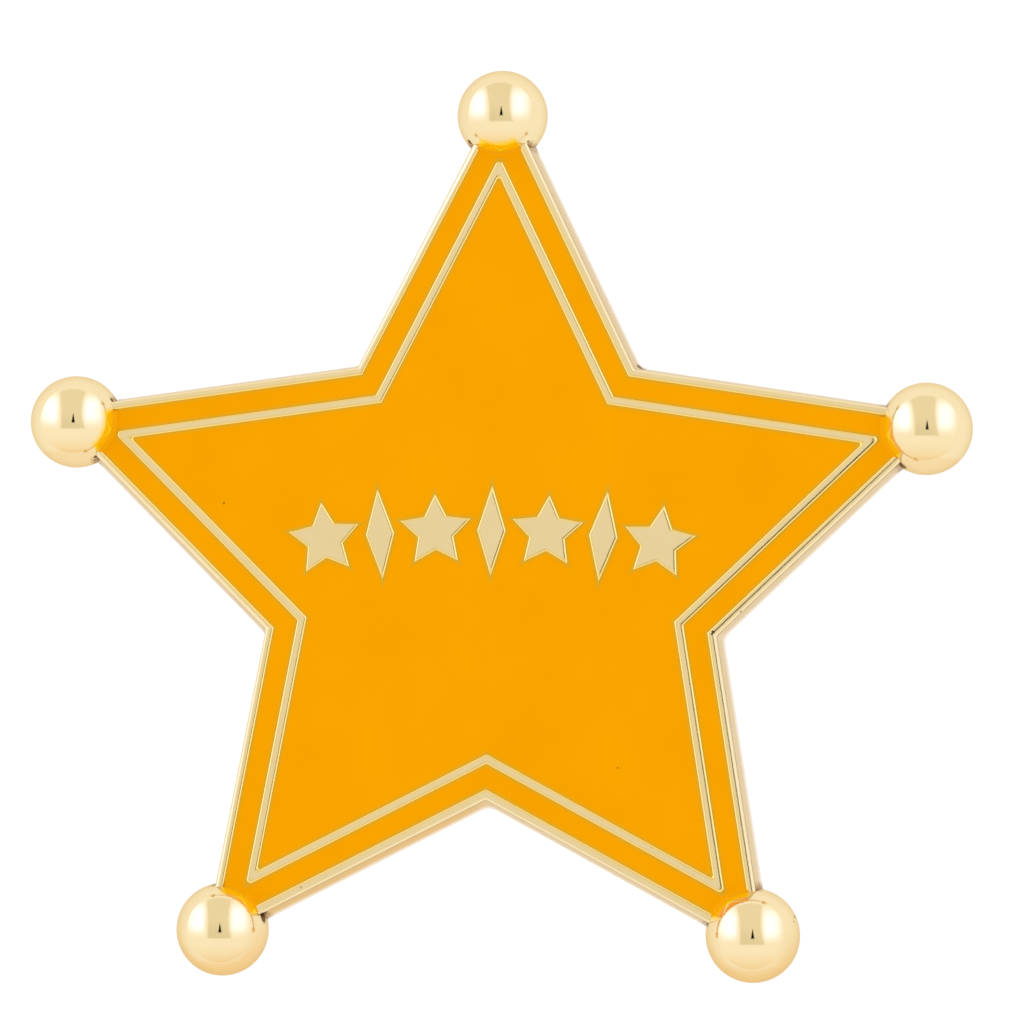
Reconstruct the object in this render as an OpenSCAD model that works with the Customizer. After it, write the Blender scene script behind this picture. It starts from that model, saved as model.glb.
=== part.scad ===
// Ball-tipped five-point star badge with two enamel inlays and a plain bar pin behind it.
// It lies face up on its five balls: +Z points out of the face and +Y to the top point.
// The origin is the middle of its bounding box, on the surface that it lies on.

/* [Star] */
// Overall width, over the two side balls
badge_w = 74; // [66:1:82]
// Diameter of each ball tip
ball_d = 7.2; // [6.6:0.1:7.8]
// Distance from the centre to a notch, as a share of the distance to a point
notch_share = 0.5; // [0.46:0.01:0.54]
// Thickness of the cast plate
plate_t = 2.25; // [1.8:0.05:2.6]
// Depth of the balls' centres below the face of the rim
ball_sink = 1.5; // [1.3:0.05:2.2]
// Gap between a ball and the tip of the raised line, through which the border's enamel runs
tip_gap = 0.095; // [0.06:0.005:0.2]

/* [Rim and line] */
// Width of the flat on top of the rim
rim_flat_w = 0.46; // [0.3:0.02:0.6]
// Width of the slope that breaks the rim's outer edge
rim_edge_w = 0.14; // [0.08:0.02:0.24]
// Height of that slope
rim_edge_h = 0.16; // [0.08:0.02:0.24]
// How far the side wall flares out towards the back
wall_flare = 0.46; // [0.1:0.02:0.6]
// Width of the raised line inside the border
line_w = 0.63; // [0.45:0.01:0.8]
// Width of the small slope along the line and along the rim's inner edge
soft_edge_w = 0.12; // [0.06:0.01:0.16]
// Height of that slope
soft_edge_h = 0.08; // [0.04:0.01:0.1]

/* [Enamel] */
// Width of the enamel border between the rim and the line
border_w = 1.75; // [1.3:0.05:2.2]
// Depth of the pits that hold the enamel
pit_depth = 0.8; // [0.5:0.05:1]
// How far the enamel lies below the metal
enamel_recess = 0.1; // [0.06:0.01:0.16]
// Gap between the enamel and the metal round and under it
enamel_gap = 0.02; // [0.01:0.005:0.03]

/* [Ornaments] */
// Number of small stars in the row, with a lozenge between each two
small_stars = 4; // [2:1:4]
// Width of a small star
small_star_w = 5.55; // [4.6:0.05:5.8]
// Width of a lozenge
lozenge_w = 2.25; // [1.6:0.05:2.5]
// Height of a lozenge
lozenge_h = 7.1; // [5.5:0.1:7.6]
// Gap between a small star and a lozenge
ornament_gap = 0.44; // [0.3:0.02:0.6]
// Radius of the arch that the row stands on
arch_r = 105; // [85:1:140]
// Height of the row's middle above the star's centre
row_up = 2.25; // [1:0.05:3]
// Width of the slope round an ornament's top
ornament_edge_w = 0.12; // [0.08:0.01:0.2]
// Height of that slope
ornament_edge_h = 0.1; // [0.06:0.01:0.16]

/* [Pin back] */
// Length of the bar on the plate's back
bar_l = 30; // [24:1:33]
// Width of the bar
bar_w = 5; // [4:0.1:6]
// Thickness of the bar
bar_t = 0.6; // [0.4:0.05:0.8]
// Gap between the bar and the plate
bar_gap = 0.03; // [0.01:0.01:0.05]
// Diameter of the pin wire
wire_d = 0.9; // [0.6:0.05:1.1]
// Diameter of the rounded foot of each post
post_d = 1.8; // [1.6:0.1:2]
// Width of each post, across the bar
post_w = 3; // [2.4:0.1:3.6]
// Distance of each post's middle from the end of the bar
post_in = 2.8; // [2:0.1:4]
// Clearance between the posts and the surface below
foot_clear = 0.35; // [0.25:0.05:0.45]

/* [Hidden] */
$fn = 96;
POINTS = 5;
STEP_DEG = 360 / POINTS;
HALF_DEG = STEP_DEG / 2;
// A cutter runs this far past the face that it cuts
past = 0.5;

// Levels, counted up from the surface below
ball_r = ball_d / 2;
top_z = ball_r + ball_sink;
back_z = top_z - plate_t;
pit_z = top_z - pit_depth;
// The line and the ornaments reach this low, into the floor of the pits
line_foot_z = (back_z + pit_z) / 2;
enamel_low_z = pit_z + enamel_gap;
enamel_top_z = top_z - enamel_recess;

// Plan, round the star's centre
ball_ring_r = (badge_w / 2 - ball_r) / cos(90 - STEP_DEG);
star_y = -ball_ring_r * (1 - cos(HALF_DEG)) / 2;
edge_share = notch_share * sin(HALF_DEG)
    / sqrt(1 + notch_share * notch_share - 2 * notch_share * cos(HALF_DEG));
line_out_r = ball_ring_r - ball_r - tip_gap;
line_in_r = grown(line_out_r, -line_w);
rim_in_r = grown(line_out_r, border_w);

// Ornaments
small_star_r = small_star_w / (2 * cos(90 - STEP_DEG));
lozenge_edge = lozenge_w * lozenge_h / (2 * sqrt(lozenge_w * lozenge_w + lozenge_h * lozenge_h));
ornaments = 2 * small_stars - 1;
pitch_deg = ((small_star_w + lozenge_w) / 2 + ornament_gap) / arch_r * 180 / PI;

// Pin back
bar_z = back_z - bar_gap - bar_t;
post_z = foot_clear + post_d / 2;
post_x = bar_l / 2 - post_in;

// Point radius of a star whose edges all lie a distance d outside those of a star of radius r
function grown(r, d) = r + d / edge_share;

// Outline of a star of point radius r, its first point upwards
function star_outline(r) = [
    for (i = [0:2 * POINTS - 1])
        let (a = 90 + i * HALF_DEG, q = i % 2 == 0 ? r : r * notch_share)
            [q * cos(a), q * sin(a)]
];

// Outline of a lozenge, grown by a distance d on every edge
function lozenge_outline(d) =
    let (k = (1 + d / lozenge_edge) / 2)
        [[lozenge_w * k, 0], [0, lozenge_h * k], [-lozenge_w * k, 0], [0, -lozenge_h * k]];

// Outline of ornament i of the row, grown by a distance d on every edge
function ornament_outline(i, d) =
    i % 2 == 0 ? star_outline(grown(small_star_r, d)) : lozenge_outline(d);

// Closed solid through outlines of as many points each, one at each level.
// Base and lid are fans from the axis, since each outline goes round it once.
module loft(outlines, levels) {
    n = len(outlines[0]);
    last = len(outlines) - 1;
    corners = [for (k = [0:last]) for (p = outlines[k]) [p.x, p.y, levels[k]]];
    hubs = [[0, 0, levels[0]], [0, 0, levels[last]]];
    base_hub = len(corners);
    base = [for (i = [0:n - 1]) [base_hub, i, (i + 1) % n]];
    lid = [for (i = [0:n - 1]) [base_hub + 1, last * n + (i + 1) % n, last * n + i]];
    sides = [
        for (k = [0:last - 1]) for (i = [0:n - 1])
            let (j = (i + 1) % n)
                [k * n + i, (k + 1) * n + i, (k + 1) * n + j, k * n + j]
    ];
    polyhedron(concat(corners, hubs), concat(base, sides, lid));
}

// Upright prism on an outline, from one level to another
module prism(outline, low, high) {
    translate([0, 0, low])
        linear_extrude(high - low)
            polygon(outline);
}

// Upright wall between two outlines
module ring(outer, inner, low, high) {
    translate([0, 0, low])
        linear_extrude(high - low)
            difference() {
                polygon(outer);
                polygon(inner);
            }
}

// Puts what is drawn round the star's centre in its place
module at_star() {
    translate([0, star_y, 0])
        children();
}

// Solid of a closed section swept round the star with mitred corners. The section lists
// pairs of an outset from the rim's inner outline and a level, counterclockwise.
module sweep_round(section) {
    n = len(section);
    turns = 2 * POINTS;
    corners = [
        for (i = [0:turns - 1]) for (s = section)
            let (p = star_outline(grown(rim_in_r, s.x))[i])
                [p.x, p.y, s.y]
    ];
    faces = [
        for (i = [0:turns - 1]) for (k = [0:n - 1])
            let (a = i * n, b = (i + 1) % turns * n, j = (k + 1) % n)
                [a + k, a + j, b + j, b + k]
    ];
    polyhedron(corners, faces);
}

// Floor of the pits
module floor_plate() {
    prism(star_outline(rim_in_r), back_z, pit_z);
}

// Rim with its broken outer edge, and the flared wall below it
module rim() {
    shoulder = rim_flat_w + rim_edge_w;
    sweep_round([
        [0, back_z],
        [shoulder + wall_flare, back_z],
        [shoulder, top_z - rim_edge_h],
        [rim_flat_w, top_z],
        [soft_edge_w, top_z],
        [0, top_z - soft_edge_h],
        [0, pit_z]
    ]);
}

// Raised line between the border and the field
module line() {
    inner = -border_w - line_w;
    sweep_round([
        [inner, line_foot_z],
        [-border_w, line_foot_z],
        [-border_w, top_z - soft_edge_h],
        [-border_w - soft_edge_w, top_z],
        [inner + soft_edge_w, top_z],
        [inner, top_z - soft_edge_h]
    ]);
}

// Five balls on the points, larger by a gap where they cut something
module balls(gap) {
    for (i = [0:POINTS - 1])
        rotate(90 + i * STEP_DEG)
            translate([ball_ring_r, 0, ball_r])
                sphere(r = ball_r + gap);
}

// Puts ornament i at its place on the arch
module on_arch(i) {
    turn = ((ornaments - 1) / 2 - i) * pitch_deg;
    translate([0, row_up - arch_r, 0])
        rotate(turn)
            translate([0, arch_r, 0])
                children();
}

// Row of raised ornaments, small stars and lozenges in turn
module ornament_row() {
    for (i = [0:ornaments - 1])
        on_arch(i)
            loft(
                [for (d = [0, 0, -ornament_edge_w]) ornament_outline(i, d)],
                [line_foot_z, top_z - ornament_edge_h, top_z]
            );
}

// Openings for the ornaments, a gap larger than they are
module ornament_openings() {
    for (i = [0:ornaments - 1])
        on_arch(i)
            prism(ornament_outline(i, enamel_gap), pit_z - past, top_z + past);
}

// Metal of the badge: plate, rim, line, balls and ornaments in one solid
module star_body() {
    color("goldenrod")
        at_star() {
            floor_plate();
            rim();
            line();
            balls(0);
            ornament_row();
        }
}

// Enamel between the rim and the line
module enamel_border() {
    color("orange")
        at_star()
            difference() {
                ring(
                    star_outline(grown(rim_in_r, -enamel_gap)),
                    star_outline(grown(line_out_r, enamel_gap)),
                    enamel_low_z, enamel_top_z
                );
                balls(enamel_gap);
            }
}

// Enamel inside the line, open round each ornament
module enamel_field() {
    color("darkorange")
        at_star()
            difference() {
                prism(star_outline(grown(line_in_r, -enamel_gap)), enamel_low_z, enamel_top_z);
                ornament_openings();
            }
}

// Post of the pin back, with a round foot about the wire
module post() {
    rotate([90, 0, 0])
        linear_extrude(post_w, center = true) {
            translate([0, post_z])
                circle(d = post_d);
            translate([-post_d / 2, post_z])
                square([post_d, bar_z + bar_t / 2 - post_z]);
        }
}

// Bar on the back, with a post near each end and the pin wire between them
module pin_back() {
    color("silver") {
        translate([0, 0, bar_z])
            linear_extrude(bar_t) {
                square([bar_l - bar_w, bar_w], center = true);
                for (side = [-1, 1])
                    translate([side * (bar_l - bar_w) / 2, 0])
                        circle(d = bar_w);
            }
        for (side = [-1, 1])
            translate([side * post_x, 0, 0])
                post();
        translate([-post_x, 0, post_z])
            rotate([0, 90, 0])
                cylinder(d = wire_d, h = 2 * post_x);
    }
}

star_body();
enamel_border();
enamel_field();
pin_back();
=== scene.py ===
import math

import bpy
import numpy as np
from mathutils import Matrix, Vector


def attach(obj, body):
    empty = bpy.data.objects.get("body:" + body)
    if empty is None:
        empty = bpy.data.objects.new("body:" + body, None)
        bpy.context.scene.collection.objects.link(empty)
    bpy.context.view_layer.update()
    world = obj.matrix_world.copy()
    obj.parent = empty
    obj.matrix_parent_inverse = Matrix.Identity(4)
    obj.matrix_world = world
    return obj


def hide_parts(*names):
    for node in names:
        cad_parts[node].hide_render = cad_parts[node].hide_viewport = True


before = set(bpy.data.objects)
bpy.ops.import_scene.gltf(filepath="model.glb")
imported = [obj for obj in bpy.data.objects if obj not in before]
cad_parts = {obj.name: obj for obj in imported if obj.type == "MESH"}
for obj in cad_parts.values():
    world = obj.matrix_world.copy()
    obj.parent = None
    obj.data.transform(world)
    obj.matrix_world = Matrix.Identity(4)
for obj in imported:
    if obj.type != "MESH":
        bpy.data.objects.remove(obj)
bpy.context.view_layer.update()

# Star badge with ball tips, a raised rim and inner line, glossy enamel, a row of small raised
# ornaments and a bar pin. Lengths are in millimetres until a mesh is made.
# x runs to the right of someone who looks at the face, y to the top point, z out of the face.

MM = 0.001

# Sizes, as in the part's source

POINTS = 5
NOTCH_SHARE = 0.5
STEP = 2 * math.pi / POINTS
# Distance of the star's edges from its centre, as a share of its point radius
EDGE_SHARE = (NOTCH_SHARE * math.sin(STEP / 2)
              / math.sqrt(1 + NOTCH_SHARE ** 2 - 2 * NOTCH_SHARE * math.cos(STEP / 2)))
BADGE_W = 74.0
BALL_R = 3.6
BALL_SINK = 1.5
PLATE_T = 2.25
PIT_DEPTH = 0.8
ENAMEL_RECESS = 0.1
ENAMEL_GAP = 0.02
TOP_Z = BALL_R + BALL_SINK
BACK_Z = TOP_Z - PLATE_T
PIT_Z = TOP_Z - PIT_DEPTH
ENAMEL_LOW_Z = PIT_Z + ENAMEL_GAP
ENAMEL_TOP_Z = TOP_Z - ENAMEL_RECESS
RIM_FLAT_W = 0.46
RIM_EDGE_W = 0.14
RIM_EDGE_H = 0.16
WALL_FLARE = 0.46
LINE_W = 0.63
BORDER_W = 1.75
LINE_IN = BORDER_W + LINE_W
TIP_GAP = 0.095
BALL_RING_R = (BADGE_W / 2 - BALL_R) / math.cos(math.pi / 2 - STEP)
STAR_Y = -BALL_RING_R * (1 - math.cos(STEP / 2)) / 2
RIM_IN_R = BALL_RING_R - BALL_R - TIP_GAP + BORDER_W / EDGE_SHARE
ORNAMENTS = 7
SMALL_STAR_W = 5.55
SMALL_STAR_R = SMALL_STAR_W / (2 * math.cos(math.pi / 2 - STEP))
LOZENGE_W = 2.25
LOZENGE_H = 7.1
LOZENGE_EDGE = LOZENGE_W * LOZENGE_H / (2 * math.hypot(LOZENGE_W, LOZENGE_H))
ORNAMENT_GAP = 0.44
ARCH_R = 105.0
ROW_UP = 2.25
# Angle from one ornament to the next
PITCH = ((SMALL_STAR_W + LOZENGE_W) / 2 + ORNAMENT_GAP) / ARCH_R
BAR_L = 30.0
BAR_W = 5.0
BAR_T = 0.6
BAR_GAP = 0.03
BAR_Z = BACK_Z - BAR_GAP - BAR_T
WIRE_R = 0.45
POST_R = 0.9
POST_W = 3.0
POST_IN = 2.8
FOOT_CLEAR = 0.35
POST_Z = FOOT_CLEAR + POST_R
POST_X = BAR_L / 2 - POST_IN

# Finer sizes, which only the visible surfaces have

# How far each ball sits off its even place, to the right, upwards and in radius: the top one
# first, then round to the left
BALL_SEATS = np.array([
    [0.0, -0.19, -0.06],
    [0.27, -0.22, 0.0],
    [0.22, -0.35, -0.02],
    [-0.06, -0.01, 0.02],
    [-0.11, -0.29, -0.03]])
BALL_TURNS = math.pi / 2 + np.arange(POINTS) * STEP
BALL_RADII = BALL_R + BALL_SEATS[:, 2]
BALL_CENTRES = np.stack([BALL_RING_R * np.cos(BALL_TURNS) + BALL_SEATS[:, 0],
                         STAR_Y + BALL_RING_R * np.sin(BALL_TURNS) + BALL_SEATS[:, 1],
                         BALL_RADII], axis=-1)
# Levels between which the painted reflection of the orange enamel on each ball fades, and angles
# between which it fades on both sides of the way to the middle of the star
ENAMEL_REFLECTION_LEVELS = ((5.65, 6.40), (5.60, 6.35), (5.52, 6.30), (5.50, 6.32), (5.52, 6.38))
ENAMEL_REFLECTION_ANGLES = (math.radians(27), math.radians(38))
# Distances from the rim's wall between which the dirt and painted shade on a ball fade
DIRT_AND_SHADE_FULL = 0.10
DIRT_AND_SHADE_END = 0.55
# The casting is a little uneven. For each edge, the one to the left of the top point first and
# then round to the left: the outset where the rim's face starts to fall away, and how far the
# shoulder and the foot of the wall lie outside their even places
FACE_FALLS = np.array([0.05, 0.20, 0.02, 0.18, 0.37, 0.36, 0.27, 0.14, 0.30, 0.34])
SHOULDER_MOVES = np.array([-0.03, 0.0, -0.07, 0.0, 0.08, 0.07, 0.03, 0.02, 0.0, 0.03])
FOOT_MOVES = np.array([-0.33, 0.0, -0.05, -0.29, -0.01, -0.05, 0.03, -0.11, -0.035, 0.04])
FACE_FALL = 0.4
# The sides of the line and the ornaments go on down to here, inside the plate
LINE_FOOT_Z = (BACK_Z + PIT_Z) / 2
# Rounding radii of the star's points and notches, in plan
RIM_TIP_ROUND = 0.06
RIM_NOTCH_ROUND = 0.14
SHOULDER_NOTCH_ROUND = 0.35
FOOT_NOTCH_ROUND = 1.3
LINE_TIP_OUT = 0.30
LINE_TIP_IN = 0.15
LINE_NOTCH_ROUND = 0.16
BORDER_NOTCH_ROUND = 0.15
# The metal's face goes down to the enamel in a soft lip, and lies LIP_OVER over the enamel's
# brink. LIP holds the distances of its points from that edge, and its side starts at LIP_LOW_Z.
LIP = np.array([0.0, 0.015, 0.03, 0.05, 0.07, 0.09, 0.105, 0.12, 0.135, 0.15, 0.17, 0.19, 0.21,
                0.24, 0.27, 0.303])
LIP_OVER = 0.03
LIP_LOW_Z = TOP_Z - 0.15
LIP_STEEP_W = 0.12
LIP_STEEP_H = 0.057
LIP_GENTLE_W = 0.303
LIP_GENTLE_H = 0.028
# Distances from the enamel between which its film and painted reflection on the metal fade
FILM_AND_REFLECTION_FULL = 0.07
FILM_AND_REFLECTION_END = 0.26
# Distances from the metal of the points of the enamel's creep, the height and reach of the
# creep, and the reach of the darker colour along the metal
MENISCUS = np.array([0.0, 0.02, 0.045, 0.08, 0.12, 0.17, 0.23, 0.31, 0.42])
CREEP = 0.02
CREEP_W = 0.085
BRINK_W = 0.19
# How far the enamel goes under the metal
TUCK = 0.01
# Height and reach of the creep at a ball, and half the arc that it covers, in degrees
BALL_CREEP = 0.26
BALL_CREEP_W = 0.60
COLLAR_ARC = 30.0

# Colours: red, green, blue and opacity

GOLD = (0.88, 0.72, 0.43, 1.0)
GOLD_DEEP = (0.855, 0.68, 0.38, 1.0)
PIN_GOLD = (0.85, 0.69, 0.42, 1.0)
PIN_GOLD_DEEP = (0.81, 0.63, 0.36, 1.0)
PLATING_TINT = (0.84, 0.74, 0.58, 1.0)
PINHOLE_BROWN = (0.16, 0.10, 0.04, 1.0)
# Painted reflection of the enamel, with its thin film, on the metal's soft edges
FILM_AND_REFLECTION_GOLD = (0.92, 0.65, 0.18, 1.0)
# Painted reflection of the orange enamel on the balls
ENAMEL_REFLECTION_ORANGE = (0.99, 0.63, 0.0, 1.0)
# Painted shade on the balls' lower sides
PAINTED_SHADE_GOLD = (0.83, 0.55, 0.22, 1.0)
# Painted shade on the rim's wall, and browner at its lower left
WALL_SHADE_GOLD = (0.79, 0.655, 0.46, 1.0)
WALL_SHADE_BROWN = (0.79, 0.52, 0.22, 1.0)
# Tarnish and painted shade in the crease below the rim's top edge
CREASE_TARNISH_AND_SHADE = (0.50, 0.37, 0.21, 1.0)
# Painted light at the foot of the wall
FOOT_PAINTED_LIGHT = (0.97, 0.92, 0.86, 1.0)
# Dirt and painted shade in the corners between balls and rim
DIRT_AND_SHADE_BROWN = (0.26, 0.12, 0.045, 1.0)
SPECK_BROWN = (0.075, 0.03, 0.008, 1.0)
ENAMEL_ORANGE = (0.91, 0.351, 0.0, 1.0)
ENAMEL_DEEP = (0.89, 0.34, 0.0, 1.0)
ENAMEL_EDGE = (0.66, 0.375, 0.02, 1.0)
ENAMEL_SPECK = (0.12, 0.05, 0.004, 1.0)
ENAMEL_TINT = (1.0, 0.65, 0.1, 1.0)

# Dark specks: a place on the badge and a radius each

RIM_SPECKS = (
    ((11.25, 11.9, 3.7), 0.50), ((11.5, 11.9, 3.6), 0.35), ((-10.95, 12.0, 4.0), 0.22),
    ((-17.75, -9.1, 3.9), 0.22), ((17.27, -8.72, TOP_Z), 0.15), ((17.18, -8.9, TOP_Z), 0.12),
    ((2.85, 28.7, 4.9), 0.17), ((3.0, 28.5, 4.7), 0.14), ((-17.1, -31.0, 4.6), 0.5))
BALL_SPECKS = (
    ((31.5, 4.2, 4.4), 0.45), ((-17.1, -31.2, 4.5), 0.5), ((-17.3, -30.8, 5.0), 0.22),
    ((-30.15, 8.9, 4.8), 0.20), ((-31.3, 4.4, 4.8), 0.20), ((-2.4, 29.3, 4.8), 0.28),
    ((2.2, 29.3, 5.05), 0.14), ((23.8, -30.3, 4.4), 0.16), ((23.7, -30.7, 4.9), 0.14),
    ((17.2, -30.9, 4.7), 0.25))

# Shader trees


class Wire:
    """An output socket of a shader tree. Arithmetic on it adds Math nodes to that tree."""

    def __init__(self, wiring, socket):
        self.wiring = wiring
        self.socket = socket

    def math(self, operation, a, b=0.0):
        return self.wiring.add("ShaderNodeMath", {"operation": operation}, {0: a, 1: b})

    def __neg__(self):
        return self.math("MULTIPLY", self, -1.0)

    def __add__(self, other):
        return self.math("ADD", self, other)

    __radd__ = __add__

    def __sub__(self, other):
        return self.math("SUBTRACT", self, other)

    def __rsub__(self, other):
        return self.math("SUBTRACT", other, self)

    def __mul__(self, other):
        return self.math("MULTIPLY", self, other)

    __rmul__ = __mul__

    def __truediv__(self, other):
        return self.math("DIVIDE", self, other)

    def __rtruediv__(self, other):
        return self.math("DIVIDE", other, self)

    def __abs__(self):
        return self.math("ABSOLUTE", self)

    def most(self, other):
        return self.math("MAXIMUM", self, other)

    def least(self, other):
        return self.math("MINIMUM", self, other)

    def rise(self, low, high, unit=1.0):
        """0 below `low`, 1 above `high`, and a smooth step between them."""
        return self.wiring.add("ShaderNodeMapRange", {"interpolation_type": "SMOOTHSTEP"},
                               {0: self, 1: low * unit, 2: high * unit, 3: 0.0, 4: 1.0})

    def fall(self, low, high, unit=1.0):
        """1 below `low`, 0 above `high`, and a smooth step between them."""
        return 1 - self.rise(low, high, unit)

    def blend(self, first, second):
        """Colour that goes from `first` to `second` as this value goes from 0 to 1. Sockets 6
        and 7 and outlet 2 are a Mix node's colours."""
        return self.wiring.add("ShaderNodeMix", {"data_type": "RGBA"},
                               {0: self, 6: first, 7: second}, outlet=2)


class Wiring:
    """A shader tree that is built node by node."""

    def __init__(self, tree):
        self.tree = tree
        tree.nodes.clear()

    def add(self, kind, settings, sockets, outlet=0):
        """One node: its settings come first, then the value or link of each named socket."""
        node = self.tree.nodes.new(kind)
        for name, value in settings.items():
            setattr(node, name, value)
        for key, value in sockets.items():
            if isinstance(value, Wire):
                self.tree.links.new(value.socket, node.inputs[key])
            else:
                node.inputs[key].default_value = value
        if not node.outputs:
            return None
        return Wire(self, node.outputs[outlet])

    def place(self):
        """Place on the badge, in metres."""
        return self.add("ShaderNodeTexCoord", {}, {}, outlet="Object")

    def outwards(self):
        """The direction that the surface faces."""
        return self.add("ShaderNodeNewGeometry", {}, {}, outlet="Normal")

    def edge_mark(self):
        """The number that a piece carries at its points: 1 where enamel and metal meet, and on a
        ball also -1 in the corner against the wall of the rim."""
        return self.add("ShaderNodeAttribute", {"attribute_name": "edge"}, {}, outlet="Fac")

    def vector(self, operation, first, second=None, outlet=0):
        sockets = {0: first}
        if second is not None:
            sockets[1] = second
        return self.add("ShaderNodeVectorMath", {"operation": operation}, sockets, outlet)

    def axis(self, vector, index):
        """One part of a vector: 0 to the right, 1 upwards, 2 out of the face."""
        return self.add("ShaderNodeSeparateXYZ", {}, {0: vector}, outlet=index)

    def distance(self, place, spot):
        """Distance in metres from a spot that is given in millimetres."""
        return self.vector("DISTANCE", place, tuple(np.array(spot) * MM), outlet="Value")

    def noise(self, place, size, detail=2.0, roughness=0.5):
        """Soft random value round 0.5, with lumps about `size` mm wide."""
        return self.add("ShaderNodeTexNoise", {}, {
            "Vector": place, "Scale": 1 / (size * MM), "Detail": detail, "Roughness": roughness})

    def cells(self, place, size):
        """Distance from the middle of the nearest cell, in cells about `size` mm wide."""
        return self.add("ShaderNodeTexVoronoi", {"feature": "F1"},
                        {"Vector": place, "Scale": 1 / (size * MM)}, outlet="Distance")


def new_material(name):
    """A material with an empty shader tree."""
    made = bpy.data.materials.new(name)
    made.use_nodes = True
    return made, Wiring(made.node_tree)


# Finishes


def gold_plating(name, base, deep, roughness, lump=0.009, marks_and_painted_light=None):
    """Thin bright plating on a casting: it is a little deeper in colour in soft patches, has a
    fine unevenness from the casting with lumps of `lump` mm, and here and there a dark pinhole.
    Stains and painted light come from a function of the wiring, the place and the colour, that
    returns the colour, an added roughness and the share of bare metal."""
    made, w = new_material(name)
    place = w.place()
    patches = w.noise(place, 5.0, 3.0, 0.6).rise(0.35, 0.75)
    grain = w.noise(place, 0.35, 4.0, 0.65)
    cells = w.cells(place, 2.6)
    rare = w.noise(place, 7.0, 0.0).rise(0.60, 0.64)
    pinhole = cells.fall(0.02, 0.05) * rare
    colour = (0.45 * patches).blend(base, deep)
    rough = roughness + 0.05 * (grain - 0.5) + 0.03 * patches
    bare = 1.0
    if marks_and_painted_light:
        colour, added, bare = marks_and_painted_light(w, place, colour)
        rough = rough + added
    colour = (0.75 * pinhole).blend(colour, PINHOLE_BROWN)
    lumps = w.noise(place, 1.7, 2.0, 0.5)
    bump = w.add("ShaderNodeBump", {}, {
        "Strength": 1.0, "Distance": lump * MM, "Height": lumps + 0.05 * grain - 0.6 * pinhole})
    shader = w.add("ShaderNodeBsdfPrincipled", {}, {
        "Base Color": colour, "Metallic": bare, "Specular Tint": PLATING_TINT,
        "Roughness": rough, "Normal": bump})
    w.add("ShaderNodeOutputMaterial", {}, {"Surface": shader})
    return made


def film_and_painted_reflection(w, place, colour):
    """Yellow on the metal's soft edges: a thin film of enamel, and a painted reflection of the
    enamel.
    """
    # Painted reflection of the enamel on the metal's soft edges, with the enamel's thin film there
    film_and_reflection_share = w.edge_mark() * (0.85 + 0.3 * (w.noise(place, 0.8, 2.0) - 0.5))
    return film_and_reflection_share.blend(colour, FILM_AND_REFLECTION_GOLD), 0.06 * film_and_reflection_share, 1.0


def specks(w, place, colour, spots):
    """Ragged dark specks, each a place on the badge and a radius in millimetres."""
    ragged = 1.1 * (w.noise(place, 0.22, 2.0, 0.6) - 0.5)
    dark = 0.0
    for spot, size in spots:
        dark = (w.distance(place, spot) / (size * MM) + ragged).fall(0.55, 1.0).most(dark)
    return (0.92 * dark).blend(colour, SPECK_BROWN)


def rim_marks_and_painted_light(w, place, colour):
    """The film with its painted reflection, and on the side wall painted shade: duller, browner at
    the lower left, paler at its foot from painted light, darker in a crease below its top edge
    from tarnish and painted shade, and dirt and painted shade beside the balls. The back has none
    of these."""
    colour, added, _ = film_and_painted_reflection(w, place, colour)
    z = w.axis(place, 2)
    # Painted shade: the wall is duller, and browner at the lower left
    wall = z.fall(TOP_Z - 0.24, TOP_Z - 0.17, MM)
    wall = wall * (-w.axis(w.outwards(), 2)).fall(0.75, 0.97)
    colour = wall.blend(colour, WALL_SHADE_GOLD)
    lower_left = (-w.axis(place, 1)).rise(17, 22, MM) * (-w.axis(place, 0)).rise(-2, 2, MM)
    colour = (wall * lower_left * 0.9).blend(colour, WALL_SHADE_BROWN)
    # Painted light: the wall is paler and less metallic at its foot
    foot = wall * z.fall(BACK_Z + 0.05, BACK_Z + 1.1, MM)
    colour = (0.85 * foot).blend(colour, FOOT_PAINTED_LIGHT)
    # Tarnish and painted shade: darker in a crease below the top edge
    streaks = w.noise(place, 0.7, 3.0, 0.6).rise(0.35, 0.7)
    crease = wall * z.rise(TOP_Z - 0.56, TOP_Z - 0.30, MM) * (0.60 + 0.40 * streaks)
    colour = crease.blend(colour, CREASE_TARNISH_AND_SHADE)
    # Dirt and painted shade on the wall beside the balls
    nearest, *others = [w.distance(place, centre) for centre in BALL_CENTRES]
    for other in others:
        nearest = nearest.least(other)
    dirt_and_shade = nearest.fall(BALL_R + 0.05, BALL_R + 0.70, MM) * wall
    dirt_and_shade = dirt_and_shade * w.noise(place, 0.3, 3.0, 0.6).rise(0.30, 0.55)
    colour = (0.8 * dirt_and_shade).blend(colour, DIRT_AND_SHADE_BROWN)
    return specks(w, place, colour, RIM_SPECKS), added + 0.10 * wall, 1 - 0.45 * foot * foot


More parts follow.
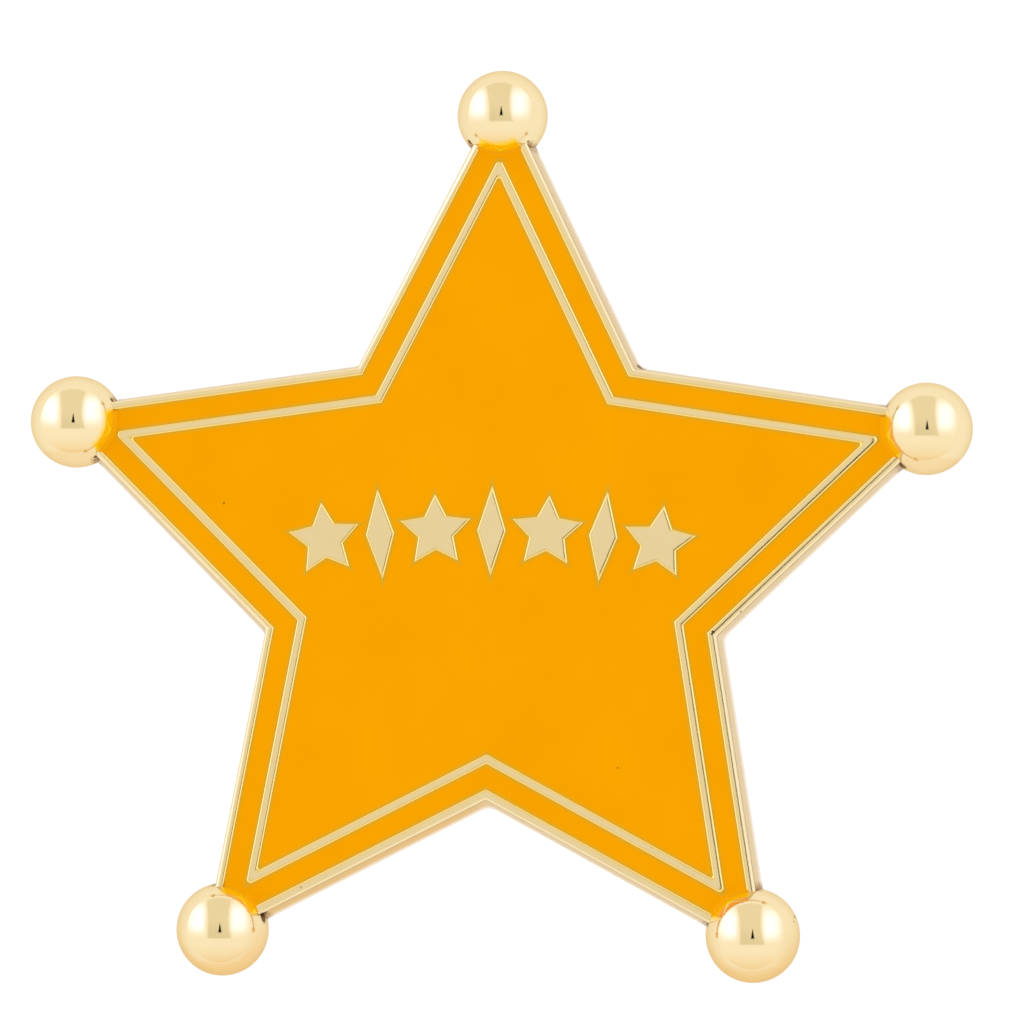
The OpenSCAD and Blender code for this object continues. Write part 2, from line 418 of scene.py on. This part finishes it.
def ball_marks_and_painted_light(w, place, colour):
    """Painted shade: a deeper gold on each ball's lower side, most on the two lower balls; a
    painted reflection of the orange enamel where the border's enamel meets the ball; and brown
    dirt and painted shade in the corner at the wall of the rim."""
    # Painted shade: deeper gold on the lower sides and on the two lower balls
    low = (-w.axis(place, 1)).rise(30.0, 35.2, MM) * w.axis(place, 2).fall(5.3, 6.5, MM)
    shaded_underside = (-w.axis(w.outwards(), 1)).rise(0.64, 0.76)
    colour = (0.80 * low).blend(colour, PAINTED_SHADE_GOLD)
    colour = (0.38 * shaded_underside).blend(colour, PAINTED_SHADE_GOLD)
    # Painted reflection of the orange enamel on the side of the ball towards the star
    mark = w.edge_mark()
    painted_reflection = (mark + 0.22 * (w.noise(place, 0.9, 1.0) - 0.5)).rise(0.0, 1.0)
    colour = painted_reflection.blend(colour, ENAMEL_REFLECTION_ORANGE)
    # Dirt and painted shade in the corner at the rim's wall
    dirt_and_shade = (-mark).most(0.0) * w.noise(place, 0.35, 3.0, 0.6).rise(0.28, 0.52)
    colour = (0.8 * dirt_and_shade).blend(colour, DIRT_AND_SHADE_BROWN)
    return specks(w, place, colour, BALL_SPECKS), 0.3 * dirt_and_shade, 1 - 0.55 * painted_reflection


def orange_enamel():
    """Glossy resin enamel: one even orange, darker and more olive in a hair line along the metal,
    with a faint cloudiness and a few specks in it."""
    made, w = new_material("orange_enamel")
    place = w.place()
    clouds = w.noise(place, 6.0, 3.0, 0.55).rise(0.3, 0.7)
    cells = w.cells(place, 4.2)
    rare = w.noise(place, 9.0, 0.0).rise(0.62, 0.66)
    speck = cells.fall(0.012, 0.035) * rare
    colour = clouds.blend(ENAMEL_ORANGE, ENAMEL_DEEP)
    colour = w.edge_mark().blend(colour, ENAMEL_EDGE)
    colour = (0.6 * speck).blend(colour, ENAMEL_SPECK)
    ripple = w.noise(place, 3.0, 1.0, 0.4)
    bump = w.add("ShaderNodeBump", {}, {
        "Strength": 1.0, "Distance": 0.0015 * MM, "Height": ripple})
    shader = w.add("ShaderNodeBsdfPrincipled", {}, {
        "Base Color": colour, "Metallic": 0.12, "Specular IOR Level": 0.0,
        "Roughness": 0.06 + 0.03 * clouds, "Specular Tint": ENAMEL_TINT, "Normal": bump})
    w.add("ShaderNodeOutputMaterial", {}, {"Surface": shader})
    return made


# Surfaces


def skin(rings, low_hub=None, high_hub=None, wrap=False, marks=0.0):
    """Surface through a stack of closed rings of as many points each. Point j of ring i is
    joined to its neighbours on the ring and to point j of ring i + 1. A hub closes an end with
    a fan, and `wrap` joins the last ring to the first. `marks` holds the edge marks of the
    rings' points, and a hub's is 0. Returns the points, the blocks of faces and the marks."""
    count, around, _ = rings.shape
    points = rings.reshape(-1, 3)
    marks = np.broadcast_to(marks, (count, around)).reshape(-1)
    low = np.arange(count if wrap else count - 1)[:, None]
    high = (low + 1) % count
    here = np.arange(around)
    there = (here + 1) % around
    quads = np.stack([low * around + here, low * around + there,
                      high * around + there, high * around + here], axis=-1)
    blocks = [quads.reshape(-1, 4)]
    for hub, ring, a, b in ((low_hub, 0, there, here), (high_hub, count - 1, here, there)):
        if hub is not None:
            centre = np.full(around, len(points))
            blocks.append(np.stack([centre, ring * around + a, ring * around + b], axis=-1))
            points = np.vstack([points, hub])
            marks = np.append(marks, 0.0)
    return points, blocks, marks


def piece(name, surfaces, finish, stands_for):
    """One object from several surfaces. Their edge marks become its `edge` attribute, unless
    all of them are 0."""
    points, blocks, marks = zip(*surfaces)
    starts = np.cumsum([0] + [len(p) for p in points])
    faces = [face for start, surface in zip(starts, blocks)
             for block in surface for face in (block + start).tolist()]
    marks = np.concatenate(marks)
    mesh = bpy.data.meshes.new(name)
    mesh.from_pydata((np.vstack(points) * MM).tolist(), [], faces)
    mesh.polygons.foreach_set("use_smooth", np.ones(len(faces), bool))
    if marks.any():
        mesh.attributes.new("edge", "FLOAT", "POINT").data.foreach_set(
            "value", marks.astype(np.float32))
    mesh.materials.append(finish)
    mesh.update()
    made = bpy.data.objects.new(name, mesh)
    bpy.context.scene.collection.objects.link(made)
    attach(made, "root")
    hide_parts(stands_for)


def grown(reach, outset):
    """Point radius of the star whose edges lie `outset` outside those of a star of `reach`."""
    return reach + outset / EDGE_SHARE


def by_corner(at_point, at_notch):
    """One value for each corner of a star, points and notches in turn."""
    return np.where(np.arange(2 * POINTS) % 2, at_notch, at_point)


def star_corners(reach):
    """Corners of a star, as complex numbers, its first point upwards: points and notches in
    turn, each half a step on."""
    turn = 1j * np.exp(1j * np.arange(2 * POINTS) * STEP / 2)
    return reach * by_corner(1.0, NOTCH_SHARE) * turn


def lozenge_corners(outset):
    """Corners of the lozenge whose edges lie `outset` outside: its half width and half height
    grow by the share that the outset is of the distance from its centre to an edge."""
    k = (1 + outset / LOZENGE_EDGE) / 2
    return np.array([LOZENGE_W * k, 1j * LOZENGE_H * k, -LOZENGE_W * k, -1j * LOZENGE_H * k])


def rounded(corners, radii, steps=6, guard=0.05):
    """Closed outline whose corners are arcs. At a corner where the way turns by t, an arc of
    radius r starts r tan(t / 2) before it: place + way * r * (exp(i t s) - 1) / i for s from 0
    to 1. A guard point on each side keeps the straight run flat up to the arc."""
    radii = np.broadcast_to(radii, corners.shape)
    arrive = corners - np.roll(corners, 1)
    arrive = arrive / abs(arrive)
    leave = np.roll(arrive, -1)
    turn = np.angle(leave / arrive)
    start = corners - arrive * radii * np.tan(abs(turn) / 2)
    s = np.linspace(0, 1, steps + 1)
    arc = start[:, None] + (arrive * radii * np.sign(turn))[:, None] * (
        np.exp(1j * turn[:, None] * s) - 1) / 1j
    rows = [start - guard * arrive, *arc.T, arc[:, -1] + guard * leave]
    return np.stack(rows, axis=-1).reshape(-1)


def at_level(outline, z, centre=(0.0, STAR_Y)):
    """Points of a complex outline at one level, round a centre on the plate."""
    return np.stack([outline.real + centre[0], outline.imag + centre[1],
                     np.full(outline.shape, z)], axis=-1)


def centre_at(z):
    """Point on the star's axis at one level."""
    return np.array([[0.0, STAR_Y, z]])


def eased(start, corner, end, steps=6):
    """Section points along the curve (1-t)^2 start + 2t(1-t) corner + t^2 end."""
    t = np.linspace(0, 1, steps + 1)[:, None]
    start, corner, end = (np.asarray(v, float) for v in (start, corner, end))
    return ((1 - t) ** 2 * start + 2 * t * (1 - t) * corner + t ** 2 * end).tolist()


def smooth(value, low, high):
    """0 below `low`, 1 above `high`, and 3 t^2 - 2 t^3 between them."""
    t = np.clip((np.asarray(value) - low) / (high - low), 0, 1)
    return t * t * (3 - 2 * t)


def star_by_edges(outsets):
    """Corners of the star whose edges lie outside the rim's inner outline by the outsets, the
    edge to the left of the top point first. With unit normals a and b and distances p and q of
    two edges that meet, the corner is ((p - q c) a + (q - p c) b) / (1 - c^2), c = a . b."""
    corners = star_corners(RIM_IN_R)
    along = np.roll(corners, -1) - corners
    b = -1j * along / abs(along)
    q = (b.conj() * corners).real + outsets
    a, p = np.roll(b, 1), np.roll(q, 1)
    c = (a.conj() * b).real
    return ((p - q * c) * a + (q - p * c) * b) / (1 - c * c)


def swept_star(section, tip_round, notch_round, moves=0.0):
    """A section of (outset, level) pairs carried round the star: one star outline for each, its
    points and notches rounded by one radius or by a radius for each pair. `moves` adds to the
    outset of each pair on each edge."""
    count = len(section)
    tips = np.broadcast_to(tip_round, count)
    notches = np.broadcast_to(notch_round, count)
    moves = np.broadcast_to(moves, (count, 2 * POINTS))
    rings = [at_level(rounded(star_by_edges(outset + move), by_corner(tip, notch)), z)
             for (outset, z), tip, notch, move in zip(section, tips, notches, moves)]
    return np.array(rings)


def along_edges(values, count):
    """One value for each point of a swept outline from one for each edge: it goes evenly from
    edge to edge through the `count` points of a corner."""
    share = np.linspace(0, 1, count)
    before = np.roll(values, 1)
    return (before[:, None] * (1 - share) + values[:, None] * share).reshape(-1)


# Metal of the badge


def lip_depth(distance):
    """Depth of the lip below the metal's face, at a distance d from its edge: for its steep
    part and again for its long gentle one, height (1 - d / width)^2 up to that width."""
    steep = np.clip(1 - distance / LIP_STEEP_W, 0, 1)
    gentle = np.clip(1 - distance / LIP_GENTLE_W, 0, 1)
    return LIP_STEEP_H * steep ** 2 + LIP_GENTLE_H * gentle ** 2


def film_and_reflection_strength(distance):
    """Strength of the enamel film and its painted reflection on the metal at a distance from the
    enamel.
    """
    return 1 - smooth(distance, FILM_AND_REFLECTION_FULL, FILM_AND_REFLECTION_END)


def cast_rim():
    """Back, flared wall, broken outer edge, face, soft inner edge and pit floor, as one closed
    section from the hub of the back to the hub of the floor. The face falls away by
    FACE_FALL (x - start)^2 at an outset x past the start that its edge has."""
    shoulder = RIM_FLAT_W + RIM_EDGE_W
    foot = shoulder + WALL_FLARE
    low = TOP_Z - RIM_EDGE_H
    wall = np.linspace([foot - 0.03, BACK_Z + 0.14], [shoulder + 0.012, low - 0.06], 6)
    face = np.stack([LIP - LIP_OVER, TOP_Z - lip_depth(LIP)], axis=-1)[::-1]
    section = np.array(
        [[-12.5, BACK_Z], [foot - 0.2, BACK_Z]]
        + eased([foot - 0.10, BACK_Z], [foot, BACK_Z], [foot - 0.02, BACK_Z + 0.09], 4)
        + wall.tolist()
        + eased([shoulder + 0.004, low - 0.03], [shoulder, low], [shoulder - 0.02, low + 0.023], 4)
        + eased([RIM_FLAT_W + 0.022, TOP_Z - 0.025], [RIM_FLAT_W, TOP_Z],
                [RIM_FLAT_W - 0.02, TOP_Z], 4)
        + [[RIM_FLAT_W - 0.05, TOP_Z], [RIM_FLAT_W - 0.09, TOP_Z], [RIM_FLAT_W - 0.125, TOP_Z]]
        + face.tolist()
        + [[-LIP_OVER, LIP_LOW_Z], [-LIP_OVER, PIT_Z], [-0.3, PIT_Z]])
    outset, level = section.T
    outer = outset > 0.4
    notches = np.where(outer, np.interp(
        level, [BACK_Z, low - 0.05, low + 0.1],
        [FOOT_NOTCH_ROUND, SHOULDER_NOTCH_ROUND, RIM_NOTCH_ROUND]), RIM_NOTCH_ROUND)
    below = np.where(outer, 1 - smooth(level, BACK_Z, low), 0.0)
    moves = smooth(outset, 0.3, RIM_FLAT_W)[:, None] * SHOULDER_MOVES + below[:, None] * FOOT_MOVES
    rings = swept_star(section, RIM_TIP_ROUND, notches, moves)
    starts = along_edges(FACE_FALLS, rings.shape[1] // (2 * POINTS))
    falls = np.clip(np.minimum(outset, RIM_FLAT_W)[:, None] - starts, 0, None) ** 2
    rings[..., 2] -= FACE_FALL * falls * smooth(level, BACK_Z, low)[:, None]
    marks = np.where(level > TOP_Z - 0.2, film_and_reflection_strength(outset + LIP_OVER), 0.0)
    return skin(rings, centre_at(BACK_Z), centre_at(PIT_Z), marks=marks[:, None])


def inner_line():
    """Raised line between border and field: a closed section with a soft edge on each side. Its
    points are blunt, more on the outside than on the inside."""
    out, into = LIP_OVER - BORDER_W, -LIP_OVER - LINE_IN
    top = TOP_Z - lip_depth(LIP)
    section = np.array(
        [[out, LINE_FOOT_Z], [out, LIP_LOW_Z]] + np.stack([out - LIP, top], axis=-1).tolist()
        + np.stack([into + LIP, top], axis=-1)[::-1].tolist()
        + [[into, LIP_LOW_Z], [into, LINE_FOOT_Z]])
    outset = section[:, 0]
    tips = np.interp(outset, [into, out], [LINE_TIP_IN, LINE_TIP_OUT])
    marks = film_and_reflection_strength(np.minimum(out - outset, outset - into))
    return skin(swept_star(section, tips, LINE_NOTCH_ROUND), wrap=True, marks=marks[:, None])


def outset_of(points):
    """Outset of the star whose edge passes through each point: with the angle taken from the
    nearest point of the star, r cos(angle - a) less the same for the rim's inner outline, where
    cos(a) is the distance of an edge from the centre as a share of the star's point radius."""
    x, y = points[..., 0], points[..., 1] - STAR_Y
    angle = np.arctan2(y, x) - math.pi / 2
    angle = abs((angle + STEP / 2) % STEP - STEP / 2)
    return np.hypot(x, y) * np.cos(angle - math.acos(EDGE_SHARE)) - RIM_IN_R * EDGE_SHARE


def inwards(centre):
    """Angle of the way from a ball to the middle of the star."""
    return math.atan2(STAR_Y - centre[1], -centre[0])


def ball(centre, radius, reflection_levels, around=132, rows=88):
    """Sphere on a grid of two angles, with a pole below and a pole above. Its edge mark is 1 for
    the painted reflection of the enamel on the side of the star up to the reflection levels, and
    -1 for dirt and painted shade in the corner against the rim's wall."""
    lift = np.linspace(-math.pi / 2, math.pi / 2, rows + 1)[1:-1]
    turn = np.arange(around) * 2 * math.pi / around
    unit = np.stack([np.cos(lift)[:, None] * np.cos(turn), np.cos(lift)[:, None] * np.sin(turn),
                     np.sin(lift)[:, None] * np.ones(around)], axis=-1)
    points = centre + radius * unit
    level = points[..., 2]
    aside = np.arctan2(points[..., 1] - centre[1], points[..., 0] - centre[0]) - inwards(centre)
    aside = abs((aside + math.pi) % (2 * math.pi) - math.pi)
    # Painted reflection of the enamel on the side of the star
    painted_reflection = (1 - smooth(aside, *ENAMEL_REFLECTION_ANGLES)) * (1 - smooth(level, *reflection_levels))
    # Dirt and painted shade in the corner against the rim's wall
    wall = RIM_FLAT_W + RIM_EDGE_W + WALL_FLARE * np.clip(
        (TOP_Z - RIM_EDGE_H - level) / (TOP_Z - RIM_EDGE_H - BACK_Z), 0, 1)
    dirt_and_shade = 1 - smooth(outset_of(points) - wall, DIRT_AND_SHADE_FULL, DIRT_AND_SHADE_END)
    dirt_and_shade = dirt_and_shade * smooth(level, BACK_Z - 0.5, BACK_Z) * (1 - smooth(level, TOP_Z - 0.3, TOP_Z))
    pole = np.array([[0.0, 0.0, radius]])
    return skin(points, centre - pole, centre + pole,
                marks=np.where(level > LIP_LOW_Z, painted_reflection, -dirt_and_shade))


def ornament_outline(index, outset):
    """Stars and lozenges in turn, a star first, with corners that are hardly rounded."""
    if index % 2:
        return rounded(lozenge_corners(outset), [0.07, 0.04, 0.07, 0.04], 4, 0.03)
    return rounded(star_corners(grown(SMALL_STAR_R, outset)), by_corner(0.04, 0.07), 4, 0.03)


def on_arch(index, outline):
    """The outline turned and moved to its place on the arch of the row."""
    turn = np.exp(1j * ((ORNAMENTS - 1) / 2 - index) * PITCH)
    return 1j * (ROW_UP - ARCH_R) + turn * (1j * ARCH_R + outline)


def around_ornament(index, section):
    """A section of (outset, level) pairs carried round one ornament."""
    return np.array([
        at_level(on_arch(index, ornament_outline(index, outset)), z) for outset, z in section])


def ornament(index):
    """One raised ornament: upright sides, a soft edge and a flat face."""
    section = np.concatenate([
        [[0.0, LINE_FOOT_Z], [0.0, LIP_LOW_Z]], np.stack([-LIP, TOP_Z - lip_depth(LIP)], -1)])
    low = at_level(on_arch(index, np.zeros(1)), LINE_FOOT_Z)
    high = at_level(on_arch(index, np.zeros(1)), TOP_Z)
    return skin(around_ornament(index, section), low, high, marks=film_and_reflection_strength(-section[:, :1]))


# Enamel


def creep(distance):
    """Height that the enamel creeps up the metal: it halves about every 0.06 mm away from it."""
    return CREEP * np.exp(-distance / CREEP_W)


def brink(distance):
    """1 at the metal and fading to 0 away from it, for the darker colour along the metal."""
    return np.exp(-(distance / BRINK_W) ** 2)


def border_enamel():
    """Closed section between rim and line, its face hollowed by the creep at both walls."""
    out, into = TUCK, -BORDER_W - TUCK
    height = ENAMEL_TOP_Z + creep(MENISCUS)
    section = np.array(
        [[out, ENAMEL_LOW_Z]] + np.stack([out - MENISCUS, height], axis=-1).tolist()
        + np.stack([into + MENISCUS, height], axis=-1)[::-1].tolist() + [[into, ENAMEL_LOW_Z]])
    tips = np.where(section[:, 0] > -BORDER_W / 2, RIM_TIP_ROUND, LINE_TIP_OUT)
    marks = np.concatenate([[0.0], brink(MENISCUS), brink(MENISCUS[::-1]), [0.0]])
    return skin(swept_star(section, tips, BORDER_NOTCH_ROUND), wrap=True, marks=marks[:, None])


def field_enamel():
    """Star-shaped sheet inside the line, from the hub of its base to the hub of its face."""
    out, middle = TUCK - LINE_IN, -14.0
    section = ([[middle, ENAMEL_LOW_Z], [out, ENAMEL_LOW_Z]]
               + np.stack([out - MENISCUS, ENAMEL_TOP_Z + creep(MENISCUS)], axis=-1).tolist()
               + [[out - 0.6, ENAMEL_TOP_Z], [middle, ENAMEL_TOP_Z]])
    marks = np.concatenate([[0.0, 0.0], brink(MENISCUS), [0.0, 0.0]])
    return skin(swept_star(section, LINE_TIP_IN, LINE_NOTCH_ROUND), centre_at(ENAMEL_LOW_Z),
                centre_at(ENAMEL_TOP_Z), marks=marks[:, None])


def ornament_collar(index):
    """Enamel that creeps up one ornament, carried round its outline. It ends just under the
    sheet that it lies on."""
    sink = 0.003 * (MENISCUS / MENISCUS[-1]) ** 2
    base_z = ENAMEL_TOP_Z - 0.1
    section = np.concatenate([
        [[MENISCUS[-1], base_z], [-0.02, base_z]],
        np.stack([MENISCUS, ENAMEL_TOP_Z + creep(MENISCUS) - sink], axis=-1)])
    marks = np.concatenate([[0.0, 0.0], brink(MENISCUS)])
    return skin(around_ornament(index, section - [TUCK, 0.0]), wrap=True, marks=marks[:, None])


def ball_collar(centre, ball_r):
    """Enamel that climbs one ball, carried along an arc round it from rim to rim. At a distance
    d from the ball it stands BALL_CREEP (1 - d / BALL_CREEP_W)^2.5 high."""
    share = np.linspace(1, 0, 17) ** 1.4
    height = BALL_CREEP * (1 - share) ** 2.5 - 0.004 * share ** 2
    distance = share * BALL_CREEP_W
    base_z = ENAMEL_TOP_Z - 0.1
    section = np.concatenate([
        np.stack([distance, ENAMEL_TOP_Z + height], axis=-1),
        [[-0.12, base_z], [BALL_CREEP_W, base_z]]])
    turn = inwards(centre) + np.radians(np.linspace(-COLLAR_ARC, COLLAR_ARC, 41))
    radius = math.sqrt(ball_r ** 2 - (ENAMEL_TOP_Z + BALL_CREEP - ball_r) ** 2) - 0.02
    radius = radius + section[:, 0]
    rings = np.stack([
        centre[0] + radius * np.cos(turn)[:, None], centre[1] + radius * np.sin(turn)[:, None],
        np.broadcast_to(section[:, 1], (len(turn), len(section)))], axis=-1)
    ends = rings[[0, -1]].mean(axis=1)
    marks = np.concatenate([0.3 * brink(distance), [0.0, 0.0]])
    return skin(rings, ends[:1], ends[1:], marks=marks)


# Pin back


def bar_outline(inset, steps=24):
    """Long outline with round ends, `inset` inside the edge of the bar."""
    half = (BAR_L - BAR_W) / 2
    turn = np.linspace(-math.pi / 2, math.pi / 2, steps + 1)
    right = half + (BAR_W / 2 - inset) * np.exp(1j * turn)
    left = -half - (BAR_W / 2 - inset) * np.exp(1j * turn)
    return np.concatenate([right, left])


def pin_bar():
    """Flat bar with both its long edges eased."""
    low, high, ease = BAR_Z, BAR_Z + BAR_T, 0.16
    section = ([[ease + 0.15, low]] + eased([ease, low], [0.0, low], [0.0, low + ease])
               + eased([0.0, high - ease], [0.0, high], [ease, high]) + [[ease + 0.15, high]])
    rings = np.array([at_level(bar_outline(inset), z, (0.0, 0.0)) for inset, z in section])
    return skin(rings, np.array([[0, 0, low]]), np.array([[0, 0, high]]))


def tongue_outline(inset, steps=24):
    """Outline of a post from its side: a round foot below, and straight up into the bar."""
    turn = np.linspace(math.pi, 2 * math.pi, steps + 1)
    foot = 1j * POST_Z + (POST_R - inset) * np.exp(1j * turn)
    head = 1j * (BAR_Z + BAR_T / 2) + (POST_R - inset) * np.array([1.0, -1.0])
    return np.concatenate([foot, head])


def pin_post(x):
    """Post across the bar, the side outline carried through its width with eased faces."""
    half, ease = POST_W / 2, 0.14
    section = ([[ease + 0.12, -half]] + eased([ease, -half], [0.0, -half], [0.0, ease - half])
               + eased([0.0, half - ease], [0.0, half], [ease, half]) + [[ease + 0.12, half]])
    rings = []
    for inset, y in section:
        outline = tongue_outline(inset)
        rings.append(np.stack([x + outline.real, np.full(outline.shape, y), outline.imag], -1))
    middle = np.array([[x, 0, (POST_Z + BAR_Z) / 2]])
    return skin(np.array(rings)[:, ::-1], middle - [0, half, 0], middle + [0, half, 0])


def pin_wire(around=40):
    """Round wire between the posts."""
    turn = np.arange(around) * 2 * math.pi / around
    run = np.linspace(-POST_X, POST_X, 9)[:, None]
    rings = np.stack(np.broadcast_arrays(
        run, WIRE_R * np.cos(turn), POST_Z + WIRE_R * np.sin(turn)), axis=-1)
    return skin(rings, np.array([[-POST_X, 0, POST_Z]]), np.array([[POST_X, 0, POST_Z]]))


# The pieces, and the same finishes on the hidden solids that they stand for

plating = gold_plating("gold_plating", GOLD, GOLD_DEEP, 0.10, marks_and_painted_light=film_and_painted_reflection)
rim_plating = gold_plating("rim_plating", GOLD, GOLD_DEEP, 0.10, marks_and_painted_light=rim_marks_and_painted_light)
ball_plating = gold_plating("ball_plating", GOLD, GOLD_DEEP, 0.05, 0.0015, ball_marks_and_painted_light)
pin_plating = gold_plating("pin_plating", PIN_GOLD, PIN_GOLD_DEEP, 0.20)
enamel = orange_enamel()

balls = [ball(*seat) for seat in zip(BALL_CENTRES, BALL_RADII, ENAMEL_REFLECTION_LEVELS)]
ball_collars = [ball_collar(*seat) for seat in zip(BALL_CENTRES, BALL_RADII)]
ornaments = [ornament(index) for index in range(ORNAMENTS)]
ornament_collars = [ornament_collar(index) for index in range(ORNAMENTS)]
pin_parts = [pin_bar(), pin_post(-POST_X), pin_post(POST_X), pin_wire()]

piece("cast_rim", [cast_rim()], rim_plating, "star_body")
piece("inner_line", [inner_line()], plating, "star_body")
piece("ball_tips", balls, ball_plating, "star_body")
piece("ornament_row", ornaments, plating, "star_body")
piece("border_enamel", [border_enamel()], enamel, "enamel_border")
piece("field_enamel", [field_enamel()], enamel, "enamel_field")
piece("ornament_collars", ornament_collars, enamel, "enamel_field")
piece("ball_collars", ball_collars, enamel, "enamel_border")
piece("bar_pin", pin_parts, pin_plating, "pin_back")

node_finishes = {"star_body": plating, "enamel_border": enamel, "enamel_field": enamel,
                 "pin_back": pin_plating}
for name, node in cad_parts.items():
    node.data.materials.clear()
    node.data.materials.append(node_finishes[name])

# Camera, at the photograph's angle

CAMERA_AT = Vector((44.407, -35.110, 359.719)) * MM
AIM_AT = Vector((1.586, 0.345, 5.109)) * MM
ROLL = math.radians(-1.217)
LENS = 163.72
SENSOR_W = 36.0

ahead = (AIM_AT - CAMERA_AT).normalized()
side = ahead.cross(Vector((0, 1, 0))).normalized()
above = side.cross(ahead)
up = math.cos(ROLL) * above + math.sin(ROLL) * side
right = ahead.cross(up)
camera_data = bpy.data.cameras.new("camera")
camera_data.sensor_width = SENSOR_W
camera_data.lens = LENS
camera_data.clip_start = 0.01
camera = bpy.data.objects.new("camera", camera_data)
bpy.context.scene.collection.objects.link(camera)
camera.matrix_world = Matrix((
    (right.x, up.x, -ahead.x, CAMERA_AT.x),
    (right.y, up.y, -ahead.y, CAMERA_AT.y),
    (right.z, up.z, -ahead.z, CAMERA_AT.z),
    (0, 0, 0, 1)))
bpy.context.scene.camera = camera

# Studio

TENT_LOW = (1.04, 0.93, 0.74, 1.0)
TENT_HIGH = (1.10, 1.10, 1.10, 1.0)
TENT_RIGHT = (0.96, 0.88, 0.82, 1.0)
SOFT_LIGHT = (1.45, 1.75, 2.75, 1.0)
PANEL_LOW = (0.87, 0.84, 0.72, 1.0)
PANEL_HIGH = (0.95, 0.92, 0.81, 1.0)
DARK = (0.0, 0.0, 0.0, 1.0)
BACKDROP = (1.2, 1.2, 1.2, 1.0)
FLOOR_HALF = 2000.0

bpy.context.scene.view_settings.view_transform = "Standard"


def squared(value):
    """A value times itself, negative ones too."""
    return value * value


def studio():
    """Light tent over the badge: cream walls, a tan panel overhead between two broad soft
    lights, and the small dark opening in the panel. A direction is placed by the point of a
    mirror ball that shows it from the front, x to the right and y upwards, from -1 to 1."""
    world = bpy.data.worlds.new("studio")
    bpy.context.scene.world = world
    world.use_nodes = True
    w = Wiring(world.node_tree)
    way = w.add("ShaderNodeTexCoord", {}, {}, outlet="Generated")
    half = w.vector("NORMALIZE", w.vector("ADD", way, tuple(-ahead)))
    x = w.vector("DOT_PRODUCT", half, tuple(right), outlet="Value")
    y = w.vector("DOT_PRODUCT", half, tuple(up), outlet="Value")

    tent = y.rise(-0.75, -0.25).blend(TENT_LOW, TENT_HIGH)
    tent = (0.7 * x.rise(0.5, 0.9)).blend(tent, TENT_RIGHT)

    along = y.rise(-0.18, 0.16) * y.fall(0.35, 0.70)
    left_light = 0.82 * x.rise(-0.90, -0.52) * x.fall(-0.46, -0.29)
    right_light = 0.70 * x.rise(0.12, 0.30) * x.fall(0.38, 0.70)
    lights = along * left_light.most(right_light)
    tent = lights.blend(tent, SOFT_LIGHT)

    # The panel lies between two curved sides, below an arch and above a straight edge
    left_side = -0.285 - 0.25 * squared(y - 0.1)
    right_side = 0.155 + 0.4 * squared(y - 0.28)
    arch = 0.71 - 0.85 * squared(x + 0.04)
    panel = ((x - left_side).rise(-0.03, 0.03) * (right_side - x).rise(-0.03, 0.04)
             * (arch - y).rise(-0.03, 0.03) * y.rise(-0.175, -0.13))
    shade = (y + 0.5 * x).rise(-0.20, 0.22).blend(PANEL_LOW, PANEL_HIGH)
    tent = panel.blend(tent, shade)

    # The opening is narrow and tapers upwards
    half_width = (0.034 - 0.165 * y).most(0.004)
    opening = (abs(x + 0.03) / half_width).fall(0.75, 1.15)
    opening = opening * y.rise(-0.04, -0.01) * y.fall(0.16, 0.20)
    tent = opening.blend(tent, DARK)

    seen = w.add("ShaderNodeLightPath", {}, {}, outlet="Is Camera Ray")
    colour = seen.blend(tent, BACKDROP)
    background = w.add("ShaderNodeBackground", {}, {"Color": colour, "Strength": 1.0})
    w.add("ShaderNodeOutputWorld", {}, {"Surface": background})


def light_table():
    """Plain pale floor that glows, as a light table does."""
    made, w = new_material("light_table")
    glow = w.add("ShaderNodeBsdfPrincipled", {}, {
        "Base Color": (0.08, 0.08, 0.08, 1.0), "Roughness": 0.9, "Specular IOR Level": 0.0,
        "Emission Color": (1.0, 1.0, 1.0, 1.0), "Emission Strength": 1.0})
    w.add("ShaderNodeOutputMaterial", {}, {"Surface": glow})
    corners = FLOOR_HALF * np.array([[-1, -1, 0], [1, -1, 0], [1, 1, 0], [-1, 1, 0]])
    mesh = bpy.data.meshes.new("floor")
    mesh.from_pydata((corners * MM).tolist(), [], [[0, 1, 2, 3]])
    mesh.materials.append(made)
    floor = bpy.data.objects.new("floor", mesh)
    bpy.context.scene.collection.objects.link(floor)


studio()
light_table()
